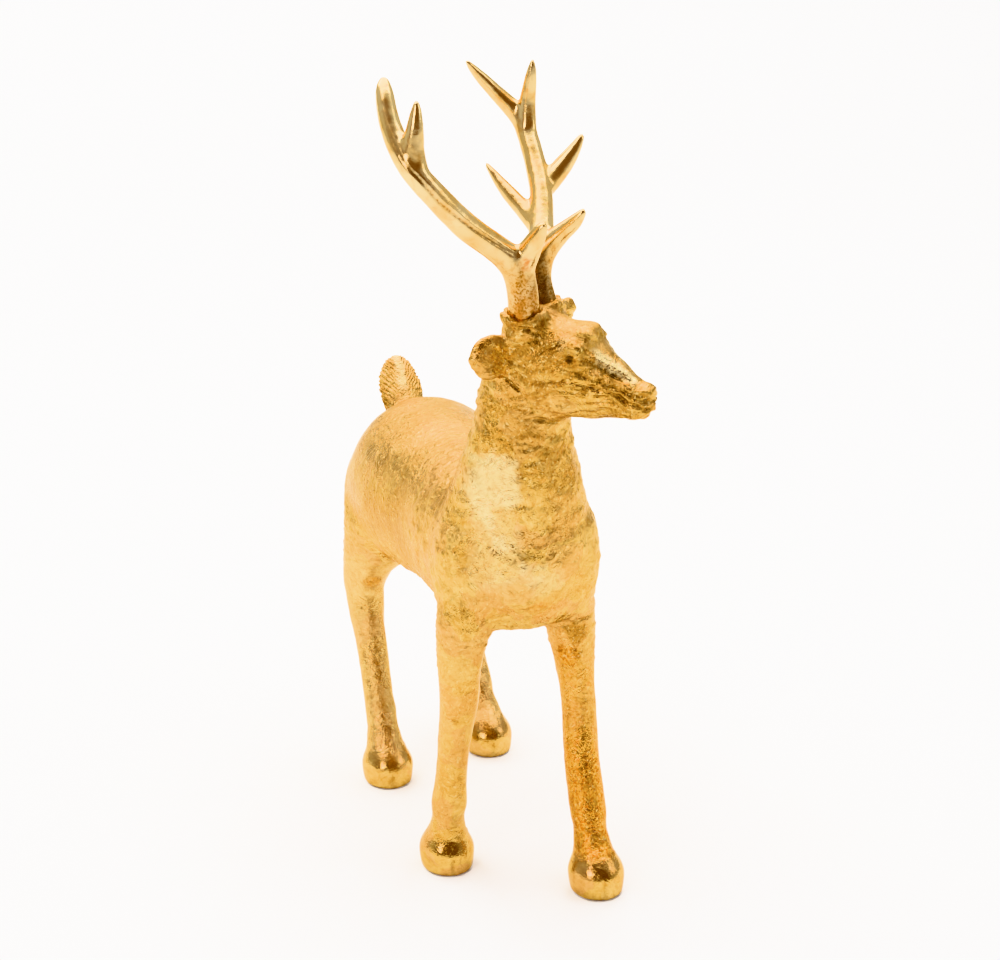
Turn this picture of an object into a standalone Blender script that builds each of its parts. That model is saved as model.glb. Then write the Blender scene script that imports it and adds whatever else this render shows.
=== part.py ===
"""Gilded stag figurine, standing with one foreleg stepped forward and the head turned to its left.

Lengths are metres and +Z is up. The stag faces -Y, so its own left side is at +X. The origin is on
the surface that it stands on, under the middle of its bounding box.

It is three pieces. The ceramic body is one casting: trunk, neck, head, ears, tail, legs and hooves.
The two antlers are moulded on their own, and a round tenon on each one goes down into a socket in
the crown of the head.
"""
import bmesh
import bpy
from math import radians
from mathutils import Matrix, Vector

for item in list(bpy.data.objects):
    bpy.data.objects.remove(item, do_unlink=True)

# Driving sizes
STAND_HEIGHT = 0.270    # soles to the crown of the head
ANTLER_RISE = 0.101     # crown to the highest antler point
TENON_RADIUS = 0.0045
TENON_LENGTH = 0.0075   # below the antler's seat
SEAT_DEPTH = 0.0025     # how far the antler's foot stands down in its collar
SEAT_GAP = 0.0003       # clear space all round between an antler and the head
HEAD_TURN = radians(45.0)   # to its left
HEAD_TILT = radians(4.0)    # left ear up

# One part of the figure. The body stands 270 parts high to the crown, and the antlers rise 101 parts
# of their own over it. Every station below is in these parts.
BODY_PART = STAND_HEIGHT / 270.0
ANTLER_PART = ANTLER_RISE / 101.0
ANTLER_FOOT = 7.0    # radius of an antler at its seat, in antler parts

# How finely the skins are melted together, how often they are eased, and the share of facets kept
BODY_GRAIN = STAND_HEIGHT / 180.0
BODY_EASING = 16
BODY_FACETS = 0.04
ANTLER_GRAIN = ANTLER_RISE / 120.0
ANTLER_EASING = 4
ANTLER_FACETS = 0.06

GILT = (0.83, 0.56, 0.20, 1.0)
GILT_BRIGHT = (0.86, 0.60, 0.24, 1.0)

ACROSS = Vector((1.0, 0.0, 0.0))

# The head has its own axes at the top of the neck: ahead, to its left, and up.
HEAD_PIVOT = Vector((0.0, -70.0, 250.0))
TURN = Matrix.Rotation(HEAD_TURN, 3, "Z") @ Matrix.Rotation(-HEAD_TILT, 3, "Y")
HEAD_AHEAD = TURN @ Vector((0.0, -1.0, 0.0))
HEAD_LEFT = TURN @ Vector((1.0, 0.0, 0.0))
HEAD_UP = TURN @ Vector((0.0, 0.0, 1.0))

RIGHT = -1
LEFT = 1


def on_head(ahead, left, up):
    """The place in the figure of a point that is given on the head's own axes."""
    return HEAD_PIVOT + HEAD_AHEAD * ahead + HEAD_LEFT * left + HEAD_UP * up


def on_head_way(ahead, left, up):
    """A direction that is given on the head's own axes."""
    return (HEAD_AHEAD * ahead + HEAD_LEFT * left + HEAD_UP * up).normalized()


def flow(rows, steps):
    """The rows with further rows between them, on a smooth curve through them all."""
    out = []
    last = len(rows) - 1
    for i in range(last):
        before = rows[max(i - 1, 0)]
        after = rows[min(i + 2, last)]
        for k in range(steps):
            t = k / steps
            weights = (
                (-t ** 3 + 2 * t ** 2 - t) / 2,
                (3 * t ** 3 - 5 * t ** 2 + 2) / 2,
                (-3 * t ** 3 + 4 * t ** 2 + t) / 2,
                (t ** 3 - t ** 2) / 2,
            )
            corners = (before, rows[i], rows[i + 1], after)
            out.append([sum(w * c[j] for w, c in zip(weights, corners)) for j in range(len(rows[i]))])
    out.append(list(rows[last]))
    return out


def placed(centre, across, along, half_across, half_deep, half_long=1.0):
    """A matrix that puts a unit shape at centre, its Z along the given direction."""
    forward = along.normalized()
    side = (across - forward * across.dot(forward)).normalized()
    deep = forward.cross(side)
    turn = Matrix((side, deep, forward)).transposed().to_4x4()
    size = Matrix.Diagonal((half_across, half_deep, half_long, 1.0))
    return Matrix.Translation(centre) @ turn @ size


def add_limb(bm, rows, across, sides, steps=4):
    """A closed round limb through rows of centre x, y, z and half sizes across and deep."""
    rows = flow(rows, steps)
    centres = [Vector(row[:3]) for row in rows]
    rings = []
    for i, row in enumerate(rows):
        along = centres[min(i + 1, len(rows) - 1)] - centres[max(i - 1, 0)]
        ring = bmesh.ops.create_circle(
            bm, cap_ends=i in (0, len(rows) - 1), segments=sides, radius=1.0,
            matrix=placed(centres[i], across, along, row[3], row[4]),
        )["verts"]
        rings.append(list(dict.fromkeys(edge for vert in ring for edge in vert.link_edges)))
    for lower, upper in zip(rings, rings[1:]):
        bmesh.ops.bridge_loops(bm, edges=lower + upper)


def add_swelling(bm, centre, radii, across=ACROSS, along=Vector((0.0, 0.0, 1.0))):
    """An egg-shaped mass; radii are across, deep and along."""
    bmesh.ops.create_uvsphere(
        bm, u_segments=24, v_segments=14, radius=1.0,
        matrix=placed(centre, across, along, *radii),
    )


def add_trunk(bm):
    """Barrel, rump and chest."""
    rows = [
        # x, y, z, half across, half deep
        (0, 96, 149, 36, 38),
        (0, 80, 148.5, 40.5, 42.5),
        (0, 62, 150, 41.5, 42.5),
        (0, 38, 152, 39.5, 41),
        (0, 12, 153, 36.5, 39),
        (0, -14, 154, 37, 39),
        (0, -38, 155, 36.5, 38),
        (0, -56, 154, 34.5, 33),
    ]
    add_limb(bm, rows, ACROSS, sides=32)
    add_swelling(bm, Vector((0, 76, 149)), (41.4, 42, 43.3))
    add_swelling(bm, Vector((0.5, -52, 160)), (36.5, 34, 39))
    for side in (RIGHT, LEFT):
        add_swelling(bm, Vector((side * 20.5, 88, 138)), (20, 28, 36))
        add_swelling(bm, Vector((side * 22, -55, 154)), (16.8, 22, 33))


def add_neck(bm):
    rows = [
        (0, -48, 128, 29, 27),
        (0, -50, 148, 35.5, 33.5),
        (0, -54, 168, 33.5, 30.5),
        (-0.8, -60, 190, 29.5, 26),
        (-1.4, -64, 205, 25.3, 22.5),
        (-1.6, -67.5, 220, 21.7, 19.5),
        (-1.5, -70, 235, 19.8, 18.3),
        (-1, -71, 250, 18.5, 17),
        (0, -70, 258, 15, 14),
    ]
    add_limb(bm, rows, ACROSS, sides=28)


def add_head(bm):
    """Skull, muzzle, jaw, brows, antler collars and ears, on the head's own axes."""
    profile = [
        # ahead, underside, top, half across
        (-14, -9, 4, 9),
        (-8, -16, 11, 15),
        (0, -20, 17, 18),
        (10, -24, 19.8, 18.7),
        (20, -25.2, 18.3, 17.7),
        (27, -24.8, 14, 15.6),
        (33, -23.5, 8.4, 12.8),
        (39.5, -22.6, 3.8, 10.4),
        (46, -22.3, -1, 9),
        (52, -22.4, -4.8, 8.6),
        (56.3, -20.6, -8, 7.2),
        (58.2, -17.5, -11.2, 4.6),
    ]
    rows = []
    for ahead, under, top, half in profile:
        middle = on_head(ahead, 0, (under + top) / 2)
        rows.append((*middle, half, (top - under) / 2))
    add_limb(bm, rows, HEAD_LEFT, sides=24)
    for side in (RIGHT, LEFT):
        add_swelling(bm, on_head(24.5, side * 9.5, 10), (5.5, 8.5, 4.5), HEAD_LEFT, HEAD_UP)
        add_swelling(bm, on_head(13, side * 9, -13.5), (8, 16, 9.5), HEAD_LEFT, HEAD_UP)
        add_collar(bm, side)
        add_ear(bm, side)


def antler_foot(side):
    """Centre of an antler's seat in the crown, and the direction in which the antler rises."""
    foot = on_head(3.5, side * 8.8, 20.0)
    knee = on_head(3.5, side * 11.6, 46.0)
    return foot, (knee - foot).normalized()


def add_collar(bm, side):
    """The raised lip round an antler's socket."""
    foot, rise = antler_foot(side)
    profile = ((-9, 8.5), (-3, 9.3), (0.5, 9.6), (SEAT_DEPTH / BODY_PART, 9.2))
    rows = [(*(foot + rise * lift), half, half) for lift, half in profile]
    add_limb(bm, rows, HEAD_LEFT, sides=20, steps=2)


def ear_frame(side):
    """Centre of an ear's cup, the way the cup faces, and the way the ear points."""
    if side == RIGHT:
        return on_head(-5.5, -23.0, 7.0), on_head_way(0.80, -0.58, 0.15), on_head_way(-0.5, -0.85, 0.0)
    return on_head(5.8, 22.5, 12.6), on_head_way(0.90, 0.10, -0.30), on_head_way(0.2, 0.85, 0.42)


def add_ear(bm, side):
    """A short round ear, hollowed by its cutter afterwards."""
    centre, faces, points = ear_frame(side)
    add_swelling(bm, centre, (11.0, 9.3, 4.2), points, faces)
    root = centre - points * 9
    rows = [(*(root - points * 6), 5, 5), (*root, 4.5, 6), (*(centre - points * 2), 3.5, 7)]
    add_limb(bm, rows, faces, sides=16, steps=2)


def add_tail(bm):
    """A short tuft that stands up."""
    rows = [
        (0, 104, 166, 8, 8),
        (-0.5, 114, 176, 10.5, 8.5),
        (-1.5, 121.5, 185, 12, 8.5),
        (-2, 126, 193, 10.7, 7),
        (-2, 127.5, 199.5, 6.8, 4.6),
        (-2, 127.5, 203, 3, 2),
    ]
    add_limb(bm, rows, ACROSS, sides=18)


FORE_LEFT = [
    # x, y, z, half across, half deep
    (20.9, -54, 146, 13.2, 14.8),
    (24.9, -54, 130, 13.2, 13.8),
    (27.4, -54, 115, 11.4, 11.8),
    (27.9, -56.5, 104, 9.8, 10),
    (28.4, -59, 89, 8.5, 8.6),
    (28.9, -62, 73, 8.6, 8.6),
    (28.3, -66, 57, 8.8, 8.4),
    (28.7, -71, 43, 9, 8.6),
    (28.7, -76, 28, 9.1, 9),
    (28.7, -80.5, 19, 8.9, 9),
    (28.7, -83, 12, 9.4, 9.8),
]
FORE_RIGHT = [
    (-22, -60, 146, 13.3, 14.7),
    (-26.5, -62, 130, 12.8, 13.7),
    (-28.5, -62, 116, 11.3, 11.2),
    (-29, -61, 104, 10, 9.7),
    (-28.3, -59.5, 90, 9.4, 9.3),
    (-28.8, -57, 80, 8.5, 8.3),
    (-29.1, -53, 64, 7.9, 7.7),
    (-29, -48.5, 47, 7.7, 7.9),
    (-29.4, -46, 33, 9.2, 9.3),
    (-29.4, -44, 23, 8.7, 8.9),
    (-29.4, -42.5, 13, 9.3, 9.7),
]
HIND_RIGHT = [
    (-26.1, 80, 134, 16.8, 22.7),
    (-28.1, 88, 113, 13.8, 16.7),
    (-30.1, 95, 94, 10.8, 13.6),
    (-29.8, 92, 82, 9.5, 11.2),
    (-30.3, 86, 70, 8.6, 9.3),
    (-29.7, 80.5, 59, 8.4, 8.3),
    (-30.2, 75, 49, 8, 7.9),
    (-30.2, 69, 38, 8.1, 8.1),
    (-30.4, 63, 28, 9.1, 9.1),
    (-30.4, 58, 18, 9.4, 9.3),
    (-30.4, 56, 12, 9.7, 9.7),
]
HIND_LEFT = [
    (23.5, 82, 134, 16.3, 22.4),
    (25.5, 92, 113, 13.3, 16.4),
    (27.5, 102, 95, 10.3, 12.6),
    (28, 107, 80, 8.8, 11.6),
    (28.5, 104.5, 66, 7.9, 8.7),
    (29, 102, 52, 7.3, 7.8),
    (29.5, 98.5, 41, 7.1, 7.6),
    (29.7, 91, 32, 7.9, 8.4),
    (29.7, 84, 22, 8.5, 9),
    (29.7, 78, 13, 8.8, 9.4),
]
# Middle of each sole, in the order of the legs above
SOLES = [(28.5, -87), (-29.2, -42.7), (-30.2, 54), (29.3, 73)]
HOOF_PROFILE = [
    # height, half across, half deep
    (-4, 11.8, 13.4),
    (2, 12.5, 14),
    (7.5, 12.9, 14.3),
    (12.5, 11.9, 13),
    (17, 9.2, 10),
    (20.5, 6.5, 7),
]
HOOF_LEAN = 0.18    # backward for every part of height


def add_legs(bm):
    for rows in (FORE_LEFT, FORE_RIGHT, HIND_RIGHT, HIND_LEFT):
        add_limb(bm, rows, ACROSS, sides=20)
    for x, y in SOLES:
        rows = []
        for height, half, deep in HOOF_PROFILE:
            rows.append((x, y + HOOF_LEAN * max(height, 0), height, half, deep))
        add_limb(bm, rows, ACROSS, sides=24)


def mesh_object(name, bm, part):
    """A new object from the bmesh, scaled from parts to metres about the middle of the feet."""
    bmesh.ops.scale(bm, verts=bm.verts, vec=(part, part, part))
    bmesh.ops.recalc_face_normals(bm, faces=bm.faces)
    mesh = bpy.data.meshes.new(name)
    bm.to_mesh(mesh)
    bm.free()
    piece = bpy.data.objects.new(name, mesh)
    bpy.context.scene.collection.objects.link(piece)
    return piece


def add_cut(piece, cutter, operation="DIFFERENCE"):
    cut = piece.modifiers.new(cutter.name, "BOOLEAN")
    cut.object = cutter
    cut.operation = operation
    cut.solver = "EXACT"
    cutter.hide_render = True
    cutter.display_type = "WIRE"


def soften(piece, grain, rounds, share):
    """Melt the overlapping masses into one skin, ease it, and thin its facets to the given share."""
    skin = piece.modifiers.new("one skin", "REMESH")
    skin.mode = "VOXEL"
    skin.voxel_size = grain
    skin.adaptivity = 0.0
    melted = bpy.data.meshes.new_from_object(piece.evaluated_get(bpy.context.evaluated_depsgraph_get()))
    piece.modifiers.remove(skin)
    # The faces are laid down again one after another, which gives every build the same order of edges.
    bm = bmesh.new()
    corners = [bm.verts.new(vert.co) for vert in melted.vertices]
    for face in melted.polygons:
        bm.faces.new([corners[i] for i in face.vertices]).smooth = True
    bpy.data.meshes.remove(melted)
    for _ in range(rounds):
        bmesh.ops.smooth_vert(
            bm, verts=bm.verts, factor=0.5, use_axis_x=True, use_axis_y=True, use_axis_z=True,
        )
    bm.to_mesh(piece.data)
    bm.free()
    facets = piece.modifiers.new("facets", "DECIMATE")
    facets.ratio = share


def gilt(name, colour, roughness):
    material = bpy.data.materials.new(name)
    material.use_nodes = True
    shader = material.node_tree.nodes["Principled BSDF"]
    shader.inputs["Base Color"].default_value = colour
    shader.inputs["Metallic"].default_value = 1.0
    shader.inputs["Roughness"].default_value = roughness
    return material


def rod(name, foot, rise, bottom, top, radius):
    """A round cutter along an antler's foot, in metres, from bottom to top along the rise."""
    bm = bmesh.new()
    middle = foot + rise * (bottom + top) / 2
    bmesh.ops.create_cone(
        bm, cap_ends=True, segments=32, radius1=1.0, radius2=1.0, depth=1.0,
        matrix=placed(middle, HEAD_LEFT, rise, radius, radius, top - bottom),
    )
    return mesh_object(name, bm, 1.0)


def add_ear_cup(body, side, word):
    """Hollow the ear's front."""
    centre, faces, points = ear_frame(side)
    bm = bmesh.new()
    add_swelling(bm, centre + faces * 4.6, (8.2, 6.8, 4.6), points, faces)
    add_cut(body, mesh_object("ear_cup_" + word, bm, BODY_PART))


def add_antler_seat(body, side, word):
    """The recess that takes the antler's foot, and the deeper socket that takes its tenon."""
    foot, rise = antler_foot(side)
    foot = foot * BODY_PART
    recess = ANTLER_FOOT * ANTLER_PART + SEAT_GAP
    over = SEAT_DEPTH * 4
    add_cut(body, rod("antler_seat_" + word, foot, rise, 0.0, over, recess))
    reach = TENON_LENGTH + SEAT_GAP
    add_cut(body, rod("antler_socket_" + word, foot, rise, -reach, over, TENON_RADIUS + SEAT_GAP))


def make_body():
    bm = bmesh.new()
    add_trunk(bm)
    add_neck(bm)
    add_head(bm)
    add_tail(bm)
    add_legs(bm)
    body = mesh_object("deer_body", bm, BODY_PART)
    soften(body, BODY_GRAIN, BODY_EASING, BODY_FACETS)
    for side, word in ((RIGHT, "right"), (LEFT, "left")):
        add_ear_cup(body, side, word)
        add_antler_seat(body, side, word)
    bm = bmesh.new()
    bmesh.ops.create_cube(bm, size=1.0, matrix=Matrix.Translation((0, 0, -0.5)))
    add_cut(body, mesh_object("standing_surface", bm, 1.0))
    body.data.materials.append(gilt("gilt_leaf", GILT, 0.38))
    return body


def make_antler(side, word, branches):
    """One antler: its branches melted together, cut flat at the foot, with a tenon below."""
    foot, rise = antler_foot(side)
    foot = foot * BODY_PART
    bm = bmesh.new()
    for rows in branches:
        add_limb(bm, [antler_point(side, row) for row in rows], HEAD_AHEAD, sides=16)
    antler = mesh_object("antler_" + word, bm, 1.0)
    soften(antler, ANTLER_GRAIN, ANTLER_EASING, ANTLER_FACETS)
    seat = foot + rise * SEAT_GAP
    wide = 3 * ANTLER_FOOT * ANTLER_PART
    add_cut(antler, rod("antler_foot_cut_" + word, seat, rise, -wide, 0.0, wide))
    tenon = rod("antler_tenon_" + word, seat, rise, -TENON_LENGTH, TENON_LENGTH / 2, TENON_RADIUS)
    add_cut(antler, tenon, "UNION")
    antler.data.materials.append(gilt("gilt_antler_" + word, GILT_BRIGHT, 0.25))
    return antler


def antler_point(side, row):
    """A row of outward, ahead, above-seat and radius in antler parts, as a place in metres."""
    outward, ahead, above, radius = row
    foot, _ = antler_foot(side)
    way = HEAD_LEFT * side * outward + HEAD_AHEAD * ahead + HEAD_UP * above
    return (*(foot * BODY_PART + way * ANTLER_PART), radius * ANTLER_PART, radius * ANTLER_PART)


# Each branch runs from inside the branch that carries it to its own point, in rows of outward,
# ahead, above the seat and radius.
RIGHT_BRANCHES = [
    # Beam and rear point
    [(-1, 0, -8, 7.2), (0.3, 0, 0, ANTLER_FOOT), (1.9, 0, 13, 6.7), (4.5, -1.5, 24, 6.8),
     (11.5, -7, 33, 5.9), (22.2, -15, 44.4, 5.8), (35, -22.5, 60.5, 5.4), (39.5, -30, 72, 5.2),
     (35, -40, 85.5, 4.6), (28.5, -46, 98, 3.9), (24.5, -48, 103, 2)],
    # Brow point
    [(2, -1, 22, 6), (3.5, 4, 30, 5.2), (4.5, 9, 38, 3.8), (5.5, 13, 44, 1.6)],
    # Upper point
    [(37.5, -27, 67, 4.8), (38.5, -28.5, 78, 4.6), (38, -27.3, 88, 3.6), (37, -26.8, 98, 1.4)],
]
LEFT_BRANCHES = [
    # Beam and rear point
    [(-1, 0, -8, 6.9), (0, 0, 0, 6.9), (-0.2, -1, 7, 6), (0.4, -1.8, 14, 5.6), (3.2, -1.6, 25, 5.7),
     (11, -5, 34, 5.4), (20, -9, 44, 5), (30, -17, 57, 4.7), (38, -26, 70.5, 4.5), (35.5, -34.5, 80.5, 3.8),
     (29.5, -41.8, 91, 2.7), (24, -45.4, 98.5, 1)],
    # Brow point
    [(3, -1, 23, 5.6), (5, 6, 31, 4.4), (5.5, 13, 37, 3.4), (5.5, 18, 43, 1.4)],
    # Middle rear point
    [(11, -7, 32.5, 4.6), (15, -15.6, 38.2, 4), (18, -26, 46, 3.1), (20.5, -35.6, 55.4, 1.2)],
    # Middle fore point
    [(24, -10.5, 44.5, 5), (32, -6, 51.5, 4.5), (37, -2.2, 58, 3.5), (41, 1.8, 66.2, 1.3)],
    # Upper point
    [(37, -23, 69, 4.2), (38, -23, 80, 3.6), (37.5, -21, 90, 2.8), (37, -19.5, 98, 1.2)],
]


def centre_on_origin(pieces, guides):
    """Move everything so that the middle of the figure's bounding box stands over the origin."""
    view = bpy.context.evaluated_depsgraph_get()
    corners = []
    for piece in pieces:
        shape = piece.evaluated_get(view)
        corners += [shape.matrix_world @ Vector(corner) for corner in shape.bound_box]
    middle = [(min(c[i] for c in corners) + max(c[i] for c in corners)) / 2 for i in (0, 1)]
    for item in pieces + guides:
        item.location = (-middle[0], -middle[1], 0.0)


parts = [make_body()]
parts.append(make_antler(RIGHT, "right", RIGHT_BRANCHES))
parts.append(make_antler(LEFT, "left", LEFT_BRANCHES))
cutters = [item for item in bpy.data.objects if item.hide_render]
centre_on_origin(parts, cutters)
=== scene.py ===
from math import cos, exp, pi, radians, sin

import bmesh
import bpy
from mathutils import Matrix, Vector, kdtree, noise


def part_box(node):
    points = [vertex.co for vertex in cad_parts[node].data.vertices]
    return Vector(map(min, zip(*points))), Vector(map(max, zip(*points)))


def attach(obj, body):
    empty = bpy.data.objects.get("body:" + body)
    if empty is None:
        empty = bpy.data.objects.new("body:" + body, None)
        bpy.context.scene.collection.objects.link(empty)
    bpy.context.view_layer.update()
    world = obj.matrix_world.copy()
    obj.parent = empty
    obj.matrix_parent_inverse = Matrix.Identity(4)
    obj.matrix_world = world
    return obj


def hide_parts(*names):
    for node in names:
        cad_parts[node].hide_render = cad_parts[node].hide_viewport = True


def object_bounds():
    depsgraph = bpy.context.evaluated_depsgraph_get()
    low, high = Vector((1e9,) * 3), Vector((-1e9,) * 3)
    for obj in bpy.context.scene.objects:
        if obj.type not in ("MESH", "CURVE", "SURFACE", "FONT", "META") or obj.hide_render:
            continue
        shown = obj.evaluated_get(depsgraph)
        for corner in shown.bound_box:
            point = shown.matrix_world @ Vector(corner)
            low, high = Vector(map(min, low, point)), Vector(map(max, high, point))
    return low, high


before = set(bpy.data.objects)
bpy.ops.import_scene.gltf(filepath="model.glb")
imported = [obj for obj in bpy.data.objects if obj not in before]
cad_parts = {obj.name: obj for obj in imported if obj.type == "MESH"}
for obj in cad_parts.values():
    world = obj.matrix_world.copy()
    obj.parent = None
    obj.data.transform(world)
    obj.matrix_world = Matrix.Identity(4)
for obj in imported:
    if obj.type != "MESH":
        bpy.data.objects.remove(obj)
cad_low, cad_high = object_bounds()

# The body: one hollow ceramic casting of a standing stag, covered by hand with gold leaf. The
# leaf is laid in small sheets over a grainy ground, so it lies smooth on the back, creased on
# the head, neck and chest, and speckled on the legs, and it is burnished on the hooves.

MM = 0.001
BODY_GRAIN = 0.95 * MM    # side of a facet of the skin
BODY_EASING = 5    # rounds of smoothing
BODY_SHARE = 0.44    # of the facets, kept where the relief is
WITHIN = 0.02 * MM    # how far every piece keeps inside the solids' box
noise.seed_set(5)    # the same crumples each time

# The head is turned to the stag's left; its places are in millimetres ahead, to the left and up.
HEAD_PLACE = Vector((10.9, -79.4, 250.0))
HEAD_TURN = Matrix.Rotation(radians(45.0), 3, "Z") @ Matrix.Rotation(radians(-4.0), 3, "Y")
HEAD_AHEAD = HEAD_TURN @ Vector((0.0, -1.0, 0.0))
HEAD_LEFT = HEAD_TURN @ Vector((1.0, 0.0, 0.0))
HEAD_UP = HEAD_TURN @ Vector((0.0, 0.0, 1.0))
ANTLER_SEAT = (3.5, 8.8, 20.0)
ANTLER_KNEE = (3.5, 11.6, 46.0)    # where an antler first bends
PLUG_RADIUS = 7.7    # of the clay that fills the crown under an antler's foot
PLUG_DEPTH = 10.5
PLUG_DROP = 4.0
COLLAR_RADIUS = 8.1
COLLAR_LUMPS = 16


def on_head(ahead, left, up):
    """A place in metres from millimetres ahead, to the left and up on the head's own axes."""
    return (HEAD_PLACE + HEAD_AHEAD * ahead + HEAD_LEFT * left + HEAD_UP * up) * MM


def on_head_way(ahead, left, up):
    """A direction on the head's own axes."""
    return (HEAD_AHEAD * ahead + HEAD_LEFT * left + HEAD_UP * up).normalized()


def antler_seat(side):
    """Middle of an antler's seat in the crown, and the way the antler rises; side is 1 for the left."""
    seat, knee = (on_head(ahead, side * left, up) for ahead, left, up in (ANTLER_SEAT, ANTLER_KNEE))
    return seat, (knee - seat).normalized()


def shown(bm, name, kind, settings):
    """The bmesh as one modifier leaves it."""
    mesh = bpy.data.meshes.new(name)
    bm.to_mesh(mesh)
    bm.free()
    shape = bpy.data.objects.new(name, mesh)
    bpy.context.scene.collection.objects.link(shape)
    change = shape.modifiers.new("change", kind)
    for key, value in settings.items():
        setattr(change, key, value)
    finished = shape.evaluated_get(bpy.context.evaluated_depsgraph_get())
    changed = bpy.data.meshes.new_from_object(finished)
    bpy.data.objects.remove(shape)
    bpy.data.meshes.remove(mesh)
    return changed


def rounded_copy(node, levels):
    """A copy of a CAD solid's skin, its loose triangles joined and its facets rounded."""
    bm = bmesh.new()
    bm.from_mesh(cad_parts[node].data)
    bmesh.ops.remove_doubles(bm, verts=bm.verts, dist=1e-6)
    rounded = shown(bm, node, "SUBSURF", {"levels": levels, "render_levels": levels})
    bm = bmesh.new()
    bm.from_mesh(rounded)
    bpy.data.meshes.remove(rounded)
    return bm


def join(bm, more):
    """Put the other bmesh's shapes beside those in bm."""
    mesh = bpy.data.meshes.new("more")
    more.to_mesh(mesh)
    more.free()
    bm.from_mesh(mesh)
    bpy.data.meshes.remove(mesh)


def even_skin(bm, grain, rounds):
    """One even fine net over all the closed shapes in bm, eased."""
    laid = shown(bm, "net", "REMESH", {"mode": "VOXEL", "voxel_size": grain, "adaptivity": 0.0})
    bm = bmesh.new()
    corners = [bm.verts.new(vert.co) for vert in laid.vertices]
    for face in laid.polygons:
        bm.faces.new([corners[i] for i in face.vertices]).smooth = True
    bpy.data.meshes.remove(laid)
    for _ in range(rounds):
        bmesh.ops.smooth_vert(bm, verts=bm.verts, factor=0.5,
                              use_axis_x=True, use_axis_y=True, use_axis_z=True)
    return bm


def add_mass(bm, centre, across, along, radii, squareness=2.0):
    """A mass of clay, egg-shaped or squarer; radii are across, deep and along, in millimetres."""
    side = (across - along * across.dot(along)).normalized()
    turn = Matrix((side, along.cross(side), along)).transposed()
    ball = bmesh.ops.create_uvsphere(bm, u_segments=32, v_segments=20, radius=1.0)
    for vert in ball["verts"]:
        reach = sum(abs(part) ** squareness for part in vert.co) ** (-1.0 / squareness)
        at = vert.co * reach
        vert.co = centre + turn @ Vector((at.x * radii[0], at.y * radii[1], at.z * radii[2])) * MM


masses = bmesh.new()
for side in (-1, 1):
    seat, rise = antler_seat(side)
    turn = rise.to_track_quat("Z", "Y").to_matrix().to_4x4()
    bmesh.ops.create_cone(
        masses, cap_ends=True, segments=32, radius1=PLUG_RADIUS * MM, radius2=PLUG_RADIUS * MM,
        depth=PLUG_DEPTH * MM, matrix=Matrix.Translation(seat - rise * PLUG_DROP * MM) @ turn,
    )
    # Leaf crumpled up round the foot of the antler
    around = rise.cross(HEAD_AHEAD).normalized()
    onward = around.cross(rise)
    for k in range(COLLAR_LUMPS):
        turned = k * 2 * pi / COLLAR_LUMPS
        out = around * cos(turned) + onward * sin(turned)
        uneven = noise.noise(Vector((k * 1.7, side, 0.3)))
        lump = seat + out * (COLLAR_RADIUS + uneven) * MM + rise * (1.6 + 2.0 * uneven) * MM
        add_mass(masses, lump, out, rise, (1.8, 2.2, 2.6 + 1.4 * uneven))
    # Ridge over the eye
    add_mass(masses, on_head(24.5, side * 12.0, 10.2), HEAD_LEFT, HEAD_UP, (3.2, 7.0, 3.4))
# Crown, flat on top and ending in a step above the nose
add_mass(masses, on_head(23.4, 0, 10.6), HEAD_LEFT, on_head_way(-0.06, 0, 1), (9.4, 10.2, 7.0), 4.0)
# Nose pad and upper lip
add_mass(masses, on_head(53.8, 0, -8.4), HEAD_LEFT, HEAD_UP, (5.0, 4.0, 3.4), 2.6)
add_mass(masses, on_head(53.4, 0, -15.4), HEAD_LEFT, HEAD_UP, (4.6, 5.0, 2.8), 2.6)
# Ears: a round one towards the front, and the other one seen edge on, with two tips
add_mass(masses, on_head(-5.6, -22.4, 6.3), on_head_way(-0.5, -0.85, 0.0), on_head_way(0.80, -0.58, 0.15),
         (11.0, 9.7, 4.0))
add_mass(masses, on_head(8.0, 24, 15.4), HEAD_LEFT, HEAD_UP, (5.0, 2.6, 4.9), 3.0)
add_mass(masses, on_head(3.0, 24, 13.4), HEAD_LEFT, HEAD_UP, (5.0, 3.4, 4.4), 3.0)
bm = rounded_copy("deer_body", 2)
join(bm, masses)
body = even_skin(bm, BODY_GRAIN, BODY_EASING)

# The head and the tail are worked more finely than the rest.
HEAD_REACH = 46
TAIL_BEHIND = 98
TAIL_ABOVE = 160
head_middle = on_head(20, 0, 0)


def is_fine(place):
    on_tail = place.y > TAIL_BEHIND * MM and place.z > TAIL_ABOVE * MM
    return (place - head_middle).length < HEAD_REACH * MM or on_tail


fine = [edge for edge in body.edges if is_fine(edge.verts[0].co) and is_fine(edge.verts[1].co)]
bmesh.ops.subdivide_edges(body, edges=fine, cuts=1, use_grid_fill=True, smooth=0.0)


def share(value, low, high):
    """How far the value is from low to high, eased, from 0 to 1."""
    t = max(0.0, min(1.0, (value - low) / (high - low)))
    return t * t * (3 - 2 * t)


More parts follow.
